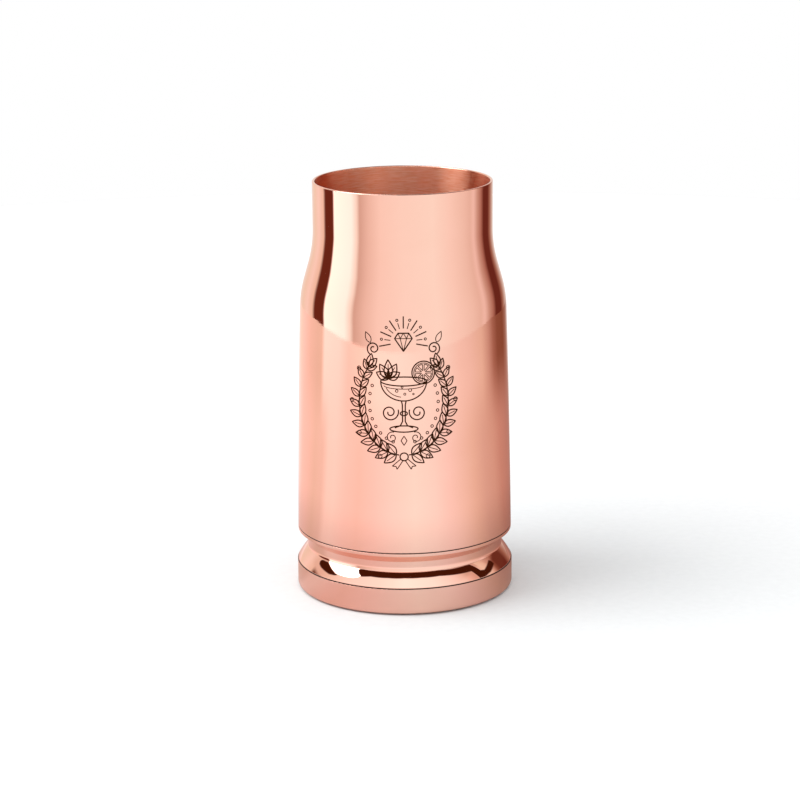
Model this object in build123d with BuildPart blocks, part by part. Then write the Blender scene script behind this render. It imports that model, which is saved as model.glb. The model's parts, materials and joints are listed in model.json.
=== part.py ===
"""Cocktail shaker cup in the shape of a bottle-necked cartridge case, in millimetres.

The cup is a thin drawn shell with a necked mouth. A dished floor is brazed into its lower end, and a turned
base, with the groove and rim of a cartridge head, is pulled up against a gasket by one screw from below.
The underside is closed by a plate that carries a soft foot ring and a round cap over the screw.

Frame: the origin is the middle of the face that the cup stands on, +Z is up along the axis of revolution.
"""

import os
from math import asin, cos, degrees, hypot, radians, sin, sqrt, tan

from build123d import *

# Casing shell: outside radii, heights above the table and the sheet's thickness.
overall_height = 160.0
body_radius = 41.7  # at the seam, where the shell is widest
body_taper = 2.0  # how much smaller the radius is where the shoulder begins
shoulder_drop = 49.0  # from the rim down to where the shoulder begins
body_crown = 0.2  # how far the body's side bows out from a straight taper
neck_inset = 7.4  # how much smaller the neck's radius is than the body's at the seam
shoulder_angle = 16.0  # degrees from the vertical, at the shoulder's steepest
shoulder_blend = 48.0  # radius of the bend at each end of the shoulder
shell_wall = 1.0
lip_round = 0.42

# Seam between the shell and the base.
seam_height = 24.4  # top face of the base
gasket_thickness = 0.4
gasket_recess = 0.4  # the gasket's edge stays this far inside the skin

# Cup floor, a dish brazed inside the shell.
floor_thickness = 1.0
floor_rise = 4.0  # from the seam up to the underside of the dish
skirt_height = 7.6  # from the underside of the dish to the skirt's edge
floor_corner = 3.0  # inside corner radius
braze_gap = 0.05

# Base: the cartridge head with its groove and rim.
stand_off = 0.5  # how far the foot ring holds the metal off the table
rim_overhang = 0.4  # the rim's radius less the body's
rim_edge_height = 10.85
rim_crown = 30.0  # radius of the rim's rounded upper face
rim_foot_round = 1.2
rim_step = 0.25  # the upper face ends this far inside the rim's side
rim_line_width = 0.4  # fine turned line under the rim's upper face
rim_line_depth = 0.5
seam_lip = 1.1  # height of the band above the groove's bevel
seam_lip_round = 0.2
groove_depth = 3.8
groove_top_drop = 4.2  # from the seam down to the end of the groove's bevel
groove_low_height = 16.3  # where the groove's wall meets the rim
head_wall = 2.3  # between the groove and the bore
rim_wall = 2.9
rim_bore_top_height = 9.5
web_thickness = 2.0
web_drop = 1.0  # from the seam down to the web's upper face
spigot_height = 3.6  # above the seam, inside the shell
spigot_wall = 1.6
spigot_clearance = 0.15

# Clamping screw, M6 with a socket head, its washer and the boss under the cup floor.
screw_radius = 2.95
screw_head_radius = 5.0
screw_head_height = 6.0
socket_across_flats = 5.0
socket_depth = 3.0
screw_tip_gap = 0.6  # between the screw's end and the cup floor
thread_clearance = 0.05
washer_radius = 6.0
washer_thickness = 1.6
washer_clearance = 0.25
boss_radius = 8.0

# Underside: bottom plate, cap over the screw and foot ring.
plate_thickness = 1.5
plate_ledge = 1.0  # width of the step in the rim that the plate seats on
cap_radius = 9.0
cap_recess = 0.15
cap_thickness = 1.2
cap_skirt_wall = 0.9
cap_skirt_height = 4.4
cap_edge_round = 0.5
foot_inset = 4.1  # from the plate's edge in to the foot ring
foot_width = 6.0
foot_bed_depth = 0.7  # how deep the foot ring sits in the plate
foot_clearance = 0.1

# The body's side is one large arc, bowed outwards by body_crown.
shell_base_height = seam_height + gasket_thickness
neck_radius = body_radius - neck_inset
body_top_radius = body_radius - body_taper
body_top_height = overall_height - shoulder_drop
chord_radial = body_top_radius - body_radius
chord_height = body_top_height - shell_base_height
chord = hypot(chord_radial, chord_height)
body_arc_radius = (chord**2 / 4 + body_crown**2) / (2 * body_crown)
arc_to_chord = body_arc_radius - body_crown
body_arc_centre = (
    (body_radius + body_top_radius) / 2 - arc_to_chord * chord_height / chord,
    (shell_base_height + body_top_height) / 2 + arc_to_chord * chord_radial / chord,
)
body_top_lean = degrees(asin((body_top_height - body_arc_centre[1]) / body_arc_radius))

# The shoulder: an outward bend, a straight slope and an inward bend into the neck.
lean = radians(shoulder_angle)
lean_start = radians(body_top_lean)
lower_bend_drop = shoulder_blend * (cos(lean_start) - cos(lean))
upper_bend_drop = shoulder_blend * (1 - cos(lean))
slope_length = (body_top_radius - neck_radius - lower_bend_drop - upper_bend_drop) / sin(lean)
lower_bend_centre = (
    body_top_radius - shoulder_blend * cos(lean_start),
    body_top_height - shoulder_blend * sin(lean_start),
)
slope_start = (
    lower_bend_centre[0] + shoulder_blend * cos(lean),
    lower_bend_centre[1] + shoulder_blend * sin(lean),
)
slope_end = (
    slope_start[0] - slope_length * sin(lean),
    slope_start[1] + slope_length * cos(lean),
)
neck_base_height = slope_end[1] + shoulder_blend * sin(lean)
upper_bend_centre = (neck_radius + shoulder_blend, neck_base_height)


def body_radius_at(height, depth=0.0):
    """Radius of the body's side at a height, at a depth inwards from the outer skin."""
    return body_arc_centre[0] + sqrt((body_arc_radius - depth) ** 2 - (height - body_arc_centre[1]) ** 2)


def draw_skin(depth):
    """Draws the shell's outline from its lower edge to the rim, at a depth inwards from the outer skin."""
    body_r = body_arc_radius - depth
    start_angle = degrees(asin((shell_base_height - body_arc_centre[1]) / body_r))
    inward = (depth * cos(lean), depth * sin(lean))
    CenterArc(body_arc_centre, body_r, start_angle, body_top_lean - start_angle)
    CenterArc(lower_bend_centre, shoulder_blend - depth, body_top_lean, shoulder_angle - body_top_lean)
    Line(
        (slope_start[0] - inward[0], slope_start[1] - inward[1]),
        (slope_end[0] - inward[0], slope_end[1] - inward[1]),
    )
    CenterArc(upper_bend_centre, shoulder_blend + depth, 180 + shoulder_angle, -shoulder_angle)
    Line((neck_radius - depth, neck_base_height), (neck_radius - depth, overall_height))


def ring(inner_radius, outer_radius, bottom, height):
    """A plain ring or, with no inner radius, a disc, standing on the plane at the height bottom."""
    with BuildPart() as made:
        with BuildSketch(Plane.XY.offset(bottom)):
            Circle(outer_radius)
            if inner_radius > 0:
                Circle(inner_radius, mode=Mode.SUBTRACT)
        extrude(amount=height)
    return made


def finish(part, name):
    """Labels a finished piece and writes it as its own STEP file."""
    part.label = name
    export_step(part, f"parts/{name}.step")


os.makedirs("parts", exist_ok=True)

# Casing shell: one sheet, drawn and necked, with a rounded lip and a cut lower edge.
with BuildPart() as casing_shell:
    with BuildSketch(Plane.XZ):
        with BuildLine():
            draw_skin(0)
            draw_skin(shell_wall)
            Line(
                (body_radius_at(shell_base_height), shell_base_height),
                (body_radius_at(shell_base_height, shell_wall), shell_base_height),
            )
            Line((neck_radius, overall_height), (neck_radius - shell_wall, overall_height))
        make_face()
    revolve(axis=Axis.Z)
    fillet(casing_shell.edges().group_by(Axis.Z)[-1], lip_round)
finish(casing_shell.part, "casing_shell")

# Cup floor: a shallow dish whose skirt lies against the inside of the shell.
floor_height = seam_height + floor_rise
skirt_depth = shell_wall + braze_gap
skirt_edge_height = floor_height + skirt_height
with BuildPart() as cup_floor:
    with BuildSketch(Plane.XZ):
        with BuildLine():
            Polyline(
                (0, floor_height),
                (body_radius_at(floor_height, skirt_depth), floor_height),
                (body_radius_at(skirt_edge_height, skirt_depth), skirt_edge_height),
                (body_radius_at(skirt_edge_height, skirt_depth + floor_thickness), skirt_edge_height),
                (
                    body_radius_at(floor_height + floor_thickness, skirt_depth + floor_thickness),
                    floor_height + floor_thickness,
                ),
                (0, floor_height + floor_thickness),
                close=True,
            )
        make_face()
    revolve(axis=Axis.Z)
    fillet(cup_floor.edges().filter_by(GeomType.CIRCLE).group_by(Axis.Z)[0], floor_corner + floor_thickness)
    inside_corner = (
        cup_floor.edges()
        .filter_by(GeomType.CIRCLE)
        .filter_by_position(Axis.Z, floor_height + floor_thickness, floor_height + floor_thickness)
    )
    fillet(inside_corner, floor_corner)
finish(cup_floor.part, "cup_floor")

# Floor boss: a threaded boss under the cup floor, which the screw pulls against the base's web.
web_top_height = seam_height - web_drop
with BuildPart() as floor_boss:
    with BuildSketch(Plane.XY.offset(web_top_height)):
        Circle(boss_radius)
        Circle(screw_radius + thread_clearance, mode=Mode.SUBTRACT)
    extrude(amount=floor_height - web_top_height)
finish(floor_boss.part, "floor_boss")

# Seam gasket: a thin ring under the shell's lower edge, set back from the skin.
spigot_radius = body_radius_at(shell_base_height, shell_wall) - spigot_clearance
seam_gasket = ring(spigot_radius + spigot_clearance, body_radius - gasket_recess, seam_height, gasket_thickness)
finish(seam_gasket.part, "seam_gasket")

# Base head: groove and rim outside, stepped bore inside, a web for the screw and a spigot into the shell.
rim_radius = body_radius + rim_overhang
groove_radius = body_radius - groove_depth
groove_top_height = seam_height - groove_top_drop
head_bore_radius = groove_radius - head_wall
bevel_start_height = seam_height - seam_lip
plate_seat_height = stand_off + plate_thickness
rim_bore_radius = rim_radius - rim_wall
plate_radius = rim_bore_radius + plate_ledge
spigot_top_height = seam_height + spigot_height
rim_line_height = rim_edge_height - rim_line_width
with BuildPart() as base_head:
    with BuildSketch(Plane.XZ) as head_section:
        with BuildLine():
            Polyline(
                (rim_radius - rim_step, rim_edge_height),
                (rim_radius - rim_line_depth, rim_edge_height),
                (rim_radius - rim_line_depth, rim_line_height),
                (rim_radius, rim_line_height),
                (rim_radius, stand_off),
                (plate_radius, stand_off),
                (plate_radius, plate_seat_height),
                (rim_bore_radius, plate_seat_height),
                (rim_bore_radius, rim_bore_top_height),
                (head_bore_radius, rim_bore_top_height),
                (head_bore_radius, web_top_height - web_thickness),
                (screw_radius + washer_clearance, web_top_height - web_thickness),
                (screw_radius + washer_clearance, web_top_height),
                (spigot_radius - spigot_wall, web_top_height),
                (spigot_radius - spigot_wall, spigot_top_height),
                (spigot_radius, spigot_top_height),
                (spigot_radius, seam_height),
                (body_radius, seam_height),
                (body_radius, bevel_start_height),
                (groove_radius, groove_top_height),
                (groove_radius, groove_low_height),
            )
            RadiusArc((groove_radius, groove_low_height), (rim_radius - rim_step, rim_edge_height), rim_crown)
        make_face()
        outside_corners = head_section.vertices()
        fillet(outside_corners.sort_by_distance((rim_radius, stand_off, 0))[0], rim_foot_round)
        outside_corners = head_section.vertices()
        fillet(outside_corners.sort_by_distance((body_radius, bevel_start_height, 0))[0], seam_lip_round)
    revolve(axis=Axis.Z)
finish(base_head.part, "base_head")

# Clamp washer and clamp screw: the head bears on the web from below.
washer_bottom = web_top_height - web_thickness - washer_thickness
clamp_washer = ring(screw_radius + washer_clearance, washer_radius, washer_bottom, washer_thickness)
finish(clamp_washer.part, "clamp_washer")

screw_head_bottom = washer_bottom - screw_head_height
with BuildPart() as clamp_screw:
    with BuildSketch(Plane.XY.offset(screw_head_bottom)):
        Circle(screw_head_radius)
    extrude(amount=screw_head_height)
    with BuildSketch(Plane.XY.offset(washer_bottom)):
        Circle(screw_radius)
    extrude(amount=floor_height - screw_tip_gap - washer_bottom)
    with BuildSketch(Plane.XY.offset(screw_head_bottom)):
        RegularPolygon(socket_across_flats / 2, 6, major_radius=False)
    extrude(amount=socket_depth, mode=Mode.SUBTRACT)
    chamfer(clamp_screw.edges().group_by(Axis.Z)[-1], screw_radius / 6)
finish(clamp_screw.part, "clamp_screw")

# Bottom plate: pressed into the rim, with a bed for the foot ring and a hole for the cap.
foot_outer_radius = plate_radius - foot_inset
foot_inner_radius = foot_outer_radius - foot_width
with BuildPart() as bottom_plate:
    with BuildSketch(Plane.XY.offset(stand_off)):
        Circle(plate_radius)
        Circle(cap_radius, mode=Mode.SUBTRACT)
    extrude(amount=plate_thickness)
    with BuildSketch(Plane.XY.offset(stand_off)):
        Circle(foot_outer_radius + foot_clearance)
        Circle(foot_inner_radius - foot_clearance, mode=Mode.SUBTRACT)
    extrude(amount=foot_bed_depth, mode=Mode.SUBTRACT)
finish(bottom_plate.part, "bottom_plate")

# Primer cap: a shallow drawn cup, pressed into the plate over the screw.
cap_bottom = stand_off + cap_recess
with BuildPart() as primer_cap:
    with BuildSketch(Plane.XY.offset(cap_bottom)):
        Circle(cap_radius)
    extrude(amount=cap_skirt_height)
    with BuildSketch(Plane.XY.offset(cap_bottom + cap_thickness)):
        Circle(cap_radius - cap_skirt_wall)
    extrude(amount=cap_skirt_height - cap_thickness, mode=Mode.SUBTRACT)
    fillet(primer_cap.edges().group_by(Axis.Z)[0], cap_edge_round)
finish(primer_cap.part, "primer_cap")

# Foot ring: the soft ring that the cup stands on.
foot_ring = ring(foot_inner_radius, foot_outer_radius, 0, stand_off + foot_bed_depth)
finish(foot_ring.part, "foot_ring")
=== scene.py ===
"""Cocktail shaker cup in copper-plated steel, shaped like a bottle-necked cartridge case.

The sections follow the cup as it is put together: shell, ornament, gasket, base, cup floor, underside and the
hidden clamping parts. The table, the lights and the camera come last. Everything is in metres, +Z up.
"""

import json
import math

import bpy
import numpy as np
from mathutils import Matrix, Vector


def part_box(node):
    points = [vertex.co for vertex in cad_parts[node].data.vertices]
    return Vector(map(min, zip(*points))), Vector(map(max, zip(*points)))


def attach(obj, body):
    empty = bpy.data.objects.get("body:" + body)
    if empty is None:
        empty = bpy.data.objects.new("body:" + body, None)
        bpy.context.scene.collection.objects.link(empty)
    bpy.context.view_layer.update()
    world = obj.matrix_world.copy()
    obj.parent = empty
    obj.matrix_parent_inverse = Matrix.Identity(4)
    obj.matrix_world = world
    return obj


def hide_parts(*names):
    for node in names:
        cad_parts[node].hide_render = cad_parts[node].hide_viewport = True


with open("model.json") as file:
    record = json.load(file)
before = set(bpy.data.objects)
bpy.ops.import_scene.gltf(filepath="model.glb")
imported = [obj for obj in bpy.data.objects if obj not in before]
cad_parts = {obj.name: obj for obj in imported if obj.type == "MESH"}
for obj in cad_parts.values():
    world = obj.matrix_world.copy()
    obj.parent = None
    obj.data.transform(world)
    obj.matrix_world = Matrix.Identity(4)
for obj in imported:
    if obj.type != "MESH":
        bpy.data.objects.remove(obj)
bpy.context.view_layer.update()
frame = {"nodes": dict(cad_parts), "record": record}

# --------------------------------------------------------------------------------------------------
# Casing shell. The real piece is one sheet of stainless steel, drawn into a tapered tube and necked at the
# top. It is polished outside, left brushed inside, and copper plated all over. Its lip is rounded over by
# burnishing.
# --------------------------------------------------------------------------------------------------

MM = 0.001
shell_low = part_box("casing_shell")[0][2]
shell_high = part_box("casing_shell")[1][2]
neck_radius = frame["record"]["mounts"][1]["dims"]["r_mm"] * MM
mouth_radius = frame["record"]["mounts"][0]["dims"]["r_mm"] * MM
shell_wall = neck_radius - mouth_radius
body_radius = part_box("casing_shell")[1][0]
# Radius and height where the shoulder begins.
shoulder_foot = (body_radius - 2.0 * MM, shell_high - 49.0 * MM)
body_crown = 0.2 * MM
shoulder_angle = math.radians(16.0)
shoulder_blend = 48.0 * MM


def arc(centre, radius, start, stop, count, crowding=1.0):
    """Points on a circle: the centre plus the radius times the cosine and sine of angles from start to stop.

    The angles are spread evenly, or crowd towards the start where the crowding is above 1.
    """
    angles = start + (stop - start) * np.linspace(0, 1, count) ** crowding
    return np.stack([centre[0] + radius * np.cos(angles), centre[1] + radius * np.sin(angles)], axis=1)


def shell_skin(depth):
    """The shell's outline from the lower edge to the rim, at a depth inwards from the outer skin.

    The body's side is a large arc through its lower end, its upper end and a middle bowed out by the crown.
    The shoulder is an outward bend, a straight slope and an inward bend, each tangent to the next.
    """
    run = shoulder_foot[0] - body_radius
    rise = shoulder_foot[1] - shell_low
    chord = math.hypot(run, rise)
    bow = (chord**2 / 4 + body_crown**2) / (2 * body_crown)
    reach = bow - body_crown
    middle = ((body_radius + shoulder_foot[0]) / 2, (shell_low + shoulder_foot[1]) / 2)
    centre = (middle[0] - reach * rise / chord, middle[1] + reach * run / chord)
    top_lean = math.asin((shoulder_foot[1] - centre[1]) / bow)
    low_lean = math.asin((shell_low - centre[1]) / (bow - depth))
    lower = (
        shoulder_foot[0] - shoulder_blend * math.cos(top_lean),
        shoulder_foot[1] - shoulder_blend * math.sin(top_lean),
    )
    slope = (
        shoulder_foot[0]
        - neck_radius
        - shoulder_blend * (math.cos(top_lean) - math.cos(shoulder_angle))
        - shoulder_blend * (1 - math.cos(shoulder_angle))
    ) / math.sin(shoulder_angle)
    slope_low = (
        lower[0] + shoulder_blend * math.cos(shoulder_angle),
        lower[1] + shoulder_blend * math.sin(shoulder_angle),
    )
    slope_high = slope_low[1] + slope * math.cos(shoulder_angle)
    neck_low = slope_high + shoulder_blend * math.sin(shoulder_angle)
    upper = (neck_radius + shoulder_blend, neck_low)
    body = arc(centre, bow - depth, low_lean, top_lean, 48, crowding=1.5)
    bend_out = arc(lower, shoulder_blend - depth, top_lean, shoulder_angle, 24)
    bend_in = arc(upper, shoulder_blend + depth, math.pi + shoulder_angle, math.pi, 24)
    straight = np.linspace(bend_out[-1], bend_in[0], 12)[1:-1]
    neck = np.linspace(bend_in[-1], (neck_radius - depth, shell_high), 12)[1:]
    return np.concatenate([body, bend_out[1:], straight, bend_in, neck])


turns = 384  # facets round the axis


def placed(name, mesh):
    """The mesh as a piece in the scene, at the origin."""
    piece = bpy.data.objects.new(name, mesh)
    bpy.context.scene.collection.objects.link(piece)
    return piece


def revolve(name, profile, closed=True):
    """A surface of revolution: a profile point (r, z) goes to (r cos t, r sin t, z) for t round the circle.

    A closed profile joins its last point to its first. An open one starts or ends on the axis, where one
    vertex closes the pole. The UV map holds the turn, from 0 to 1, and the length along the profile.
    """
    profile = np.asarray(profile, dtype=float)
    on_axis = np.abs(profile[:, 0]) < 1e-9
    rings = profile[~on_axis]
    angles = np.arange(turns) * (2 * math.pi / turns)
    x = rings[:, :1] * np.cos(angles)
    y = rings[:, :1] * np.sin(angles)
    z = np.repeat(rings[:, 1:], turns, axis=1)
    vertices = np.stack([x, y, z], axis=2).reshape(-1, 3)
    count = len(rings)
    row = np.arange(count if closed else count - 1)[:, None] * turns
    next_row = (row + turns) % (count * turns)
    here = np.arange(turns)[None, :]
    there = (here + 1) % turns
    quads = np.stack([row + here, row + there, next_row + there, next_row + here], axis=2).reshape(-1, 4)
    along = np.concatenate([[0.0], np.cumsum(np.hypot(*np.diff(rings, axis=0).T))])
    wrap = math.hypot(*(rings[0] - rings[-1]))
    v_low = along[: len(row)][:, None] + 0 * here
    v_high = np.append(along, along[-1] + wrap)[1 : len(row) + 1][:, None] + 0 * here
    u_low = (here + 0 * row) / turns
    u_high = u_low + 1.0 / turns
    uv = np.stack(
        [np.stack(c, axis=2) for c in ((u_low, v_low), (u_high, v_low), (u_high, v_high), (u_low, v_high))],
        axis=2,
    ).reshape(-1, 2)
    faces = quads.tolist()
    first, last = np.flatnonzero(on_axis)[[0, -1]] if on_axis.any() else (None, None)
    caps = [] if first is None else sorted({int(first), int(last)})
    for pole in caps:
        tip = len(vertices)
        vertices = np.vstack([vertices, [0.0, 0.0, profile[pole, 1]]])
        base = 0 if pole == 0 else (count - 1) * turns
        here_1 = base + np.arange(turns)
        there_1 = base + (np.arange(turns) + 1) % turns
        fan = (here_1, np.full(turns, tip), there_1) if pole == 0 else (here_1, there_1, np.full(turns, tip))
        faces += np.stack(fan, axis=1).tolist()
        edge_v = 0.0 if pole == 0 else along[-1]
        pole_v = edge_v + (-1 if pole == 0 else 1) * rings[0 if pole == 0 else -1, 0]
        u_here = np.arange(turns) / turns
        u_mid = u_here + 0.5 / turns
        u_there = u_here + 1.0 / turns
        corner = (
            [(u_here, edge_v), (u_mid, pole_v), (u_there, edge_v)]
            if pole == 0
            else [(u_here, edge_v), (u_there, edge_v), (u_mid, pole_v)]
        )
        fan_uv = np.stack([np.stack([u, np.full(turns, v)], axis=1) for u, v in corner], axis=1)
        uv = np.vstack([uv, fan_uv.reshape(-1, 2)])
    mesh = bpy.data.meshes.new(name)
    mesh.from_pydata(vertices.tolist(), [], faces)
    layer = mesh.uv_layers.new(name="turned")
    layer.data.foreach_set("uv", uv.astype(np.float32).ravel())
    mesh.shade_smooth()
    mesh.update()
    return placed(name, mesh)


def linear(hex_colour):
    """An sRGB hex colour as linear RGBA: below 0.04045 divide by 12.92, above it the 2.4 power curve."""
    channels = [int(hex_colour[i : i + 2], 16) / 255 for i in (0, 2, 4)]
    return [c / 12.92 if c <= 0.04045 else ((c + 0.055) / 1.055) ** 2.4 for c in channels] + [1.0]


def new_material(name):
    """A material with only an output and a Principled shader, returned as material, tree and shader."""
    material = bpy.data.materials.new(name)
    material.use_nodes = True
    tree = material.node_tree
    tree.nodes.clear()
    output = tree.nodes.new("ShaderNodeOutputMaterial")
    shader = tree.nodes.new("ShaderNodeBsdfPrincipled")
    tree.links.new(shader.outputs["BSDF"], output.inputs["Surface"])
    return material, tree, shader


def add(tree, kind, settings=None, links=None):
    """Adds a node, sets its properties or unlinked sockets by name, and links the sockets that are given."""
    node = tree.nodes.new(kind)
    for key, value in (settings or {}).items():
        if isinstance(key, int) or key in node.inputs.keys():
            node.inputs[key].default_value = value
        else:
            setattr(node, key, value)
    for key, source in (links or {}).items():
        tree.links.new(source, node.inputs[key])
    return node


def ramp_stops(node, stops):
    """Sets a colour ramp's stops from pairs of position and colour."""
    elements = node.color_ramp.elements
    while len(elements) > 1:
        elements.remove(elements[-1])
    elements[0].position, elements[0].color = stops[0]
    for position, colour in stops[1:]:
        elements.new(position).color = colour


def surface(tree, shader, toned_by, low, high, raised_by=None, strength=0.0, depth=0.0, span=(0.3, 0.7)):
    """Tones a surface from a low to a high hex colour as one pattern goes across its span.

    Where another pattern is given, it raises the surface with a strength and a depth in metres.
    """
    tone = add(tree, "ShaderNodeValToRGB", None, {"Fac": toned_by.outputs["Fac"]})
    ramp_stops(tone, [(span[0], linear(low)), (span[1], linear(high))])
    tree.links.new(tone.outputs["Color"], shader.inputs["Base Color"])
    if raised_by:
        settings = {"Strength": strength, "Distance": depth}
        relief = add(tree, "ShaderNodeBump", settings, {"Height": raised_by.outputs["Fac"]})
        tree.links.new(relief.outputs["Normal"], shader.inputs["Normal"])


# Polished copper plate under clear lacquer: electroplated on buffed steel, so it is a clean mirror. Buffing
# round the axis leaves hairlines about 0.25 mm apart, and handling leaves soft smears where the mirror
# dulls a little.
polished_copper, tree, shader = new_material("polished_copper_plate")
shader.inputs["Metallic"].default_value = 1.0
place = add(tree, "ShaderNodeTexCoord")
hairline_map = add(
    tree, "ShaderNodeMapping", {"Scale": (60.0, 60.0, 4000.0)}, {"Vector": place.outputs["Object"]}
)
hairlines = add(
    tree,
    "ShaderNodeTexNoise",
    {"Scale": 1.0, "Detail": 3.0, "Roughness": 0.6},
    {"Vector": hairline_map.outputs["Vector"]},
)
smears = add(
    tree,
    "ShaderNodeTexNoise",
    {"Scale": 38.0, "Detail": 4.0, "Roughness": 0.55, "Distortion": 0.6},
    {"Vector": place.outputs["Object"]},
)
smear_roughness = add(
    tree,
    "ShaderNodeMapRange",
    {"From Min": 0.35, "From Max": 0.75, "To Min": 0.012, "To Max": 0.03},
    {"Value": smears.outputs["Fac"]},
)
surface(tree, shader, smears, "F7CBB8", "F9CEBC", hairlines, 0.04, 0.00002)
tree.links.new(smear_roughness.outputs["Result"], shader.inputs["Roughness"])

# Brushed copper plate: the same plating over steel that was brushed round the axis with a coarse wheel. The
# grain is lines about 0.25 mm apart and 6 mm long, drawn twice as far apart to show, so highlights smear up
# and down.
brushed_copper, tree, shader = new_material("brushed_copper_plate")
shader.inputs["Metallic"].default_value = 1.0
shader.inputs["Anisotropic"].default_value = 1.0
shader.inputs["Anisotropic Rotation"].default_value = 0.25
round_axis = add(tree, "ShaderNodeTangent", {"direction_type": "UV_MAP", "uv_map": "turned"})
tree.links.new(round_axis.outputs["Tangent"], shader.inputs["Tangent"])
turned_map = add(tree, "ShaderNodeUVMap", {"uv_map": "turned"})
grain_map = add(
    tree, "ShaderNodeMapping", {"Scale": (36.0, 2000.0, 1.0)}, {"Vector": turned_map.outputs["UV"]}
)
grain = add(
    tree,
    "ShaderNodeTexNoise",
    {"Scale": 1.0, "Detail": 5.0, "Roughness": 0.65},
    {"Vector": grain_map.outputs["Vector"]},
)
grain_roughness = add(
    tree,
    "ShaderNodeMapRange",
    {"From Min": 0.3, "From Max": 0.7, "To Min": 0.28, "To Max": 0.38},
    {"Value": grain.outputs["Fac"]},
)
surface(tree, shader, grain, "F09674", "FFC6A8", grain, 0.4, 0.0001)
tree.links.new(grain_roughness.outputs["Result"], shader.inputs["Roughness"])

lip_round = 0.42 * MM
outer = shell_skin(0.0)
inner = shell_skin(shell_wall)
outer = outer[outer[:, 1] < shell_high - lip_round]
inner = inner[inner[:, 1] < shell_high - lip_round]
lip_points = 9  # on each half of the lip's round
lip_outer = arc((neck_radius - lip_round, shell_high - lip_round), lip_round, 0, math.pi / 2, lip_points)
lip_inner = arc(
    (mouth_radius + lip_round, shell_high - lip_round), lip_round, math.pi / 2, math.pi, lip_points
)
shell_profile = np.concatenate([outer, lip_outer, lip_inner, inner[::-1]])
casing = revolve("copper_casing", shell_profile)
casing.data.materials.append(polished_copper)
casing.data.materials.append(brushed_copper)
lip_polished = 6  # cells of the lip's inner half that stay polished
inside_from = len(outer) + lip_points + lip_polished
ring_of_face = np.arange(len(casing.data.polygons)) // turns
casing.data.polygons.foreach_set("material_index", (ring_of_face >= inside_from).astype(np.int32))
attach(casing, "root")
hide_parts("casing_shell")

# --------------------------------------------------------------------------------------------------
# Ornament. The real piece is line art marked by laser on the front of the body, which leaves a dark oxide
# film in the plating: a coupe glass with a citrus wheel, under a cut gem and its rays, in a wreath of mint.
# --------------------------------------------------------------------------------------------------

# Laser-darkened copper: the film is dull and nearly black, a little browner where the beam overlapped less.
laser_mark, tree, shader = new_material("laser_darkened_copper")
shader.inputs["Metallic"].default_value = 1.0
shader.inputs["Roughness"].default_value = 0.42
place = add(tree, "ShaderNodeTexCoord")
film = add(tree, "ShaderNodeTexNoise", {"Scale": 1500.0, "Detail": 3.0}, {"Vector": place.outputs["Object"]})
surface(tree, shader, film, "2E180A", "3C2010")

mark_middle = 87.0 * MM  # height of the ornament's middle
mark_proud = 0.02 * MM  # film above the skin, and as much again sunk into it
mark_radius = np.interp(mark_middle, outer[:, 1], outer[:, 0])
strokes = []


def stroke(points, width=0.5, mirrored=False):
    """Keeps a line through points (u, v) in mm from the ornament's middle, and its mirror image if asked."""
    points = np.asarray(points, dtype=float)
    strokes.append((points, width))
    if mirrored:
        strokes.append((points * (-1.0, 1.0), width))


def oval(u, v, a, b, start=0, stop=360, count=48):
    """Points on an ellipse: the centre plus a cos t and b sin t, for t in degrees from start to stop."""
    t = np.radians(np.linspace(start, stop, count))
    return np.stack([u + a * np.cos(t), v + b * np.sin(t)], axis=1)


def leaf(root, heading, length, width):
    """A leaf from its root along a heading in degrees: sides that swell by the sine of pi s, and a midrib."""
    s = np.linspace(0, 1, 14)
    swell = width / 2 * np.sin(math.pi * s**0.8)
    turn = math.radians(heading)
    ahead = np.array([math.cos(turn), math.sin(turn)])
    aside = np.array([-math.sin(turn), math.cos(turn)])
    spine = np.asarray(root) + length * s[:, None] * ahead
    sides = np.concatenate([spine + swell[:, None] * aside, (spine - swell[:, None] * aside)[::-1]])
    return sides, spine[1:11]


def scroll(u, v, size, turns, start):
    """A spiral: the distance from the centre shrinks evenly to a fifth while the angle makes its turns."""
    s = np.linspace(0, 1, 60)
    angle = math.radians(start) + 2 * math.pi * turns * s
    reach = size * (1 - 0.8 * s)
    return np.stack([u + reach * np.cos(angle), v + reach * np.sin(angle)], axis=1)


wreath = (0, -3.5, 17.0, 20.5)  # middle and half axes of the wreath's stem
citrus = (7.4, 7.4)  # middle of the citrus wheel
gem = (0, 19.3)  # middle of the gem's rays

# Wreath: a stem up each side, with pairs of leaves that shrink towards its tip, and a berry at each second
# pair.
for step in range(12):
    angle = -80 + 10.5 * step
    size = 1 - 0.025 * step
    root = oval(*wreath, angle, angle, 1)[0]
    along = angle + 90 - 8 * math.cos(math.radians(angle))
    for lean in (-46, 42):
        edge, rib = leaf(root, along + lean, 5.6 * size, 2.9 * size)
        stroke(edge, mirrored=True)
        stroke(rib, 0.32, mirrored=True)
    if step % 3 == 1:
        berry = oval(wreath[0], wreath[1], wreath[2] + 3.0, wreath[3] + 3.0, angle + 6, angle + 6, 1)[0]
        stroke(oval(berry[0], berry[1], 0.75, 0.75, count=16), 0.34, mirrored=True)
stroke(oval(*wreath, -84, 38, 60), mirrored=True)
for angle, length in ((52, 5.2), (84, 4.6)):
    edge, rib = leaf(oval(*wreath, 39, 39, 1)[0], angle + 50, length, 2.6)
    stroke(edge, mirrored=True)
    stroke(rib, 0.32, mirrored=True)
stroke(oval(0, -24.6, 1.5, 1.5, count=24))
stroke([(1.2, -25.4), (4.4, -28.2), (3.0, -28.3), (2.6, -29.4), (0.4, -26.0)], 0.36, mirrored=True)

# A string of beads inside the wreath.
for angle in range(-72, 25, 12):
    bead = oval(0, -4.0, 13.0, 15.6, angle, angle, 1)[0]
    stroke(oval(bead[0], bead[1], 0.5, 0.5, count=12), 0.34, mirrored=True)

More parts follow.
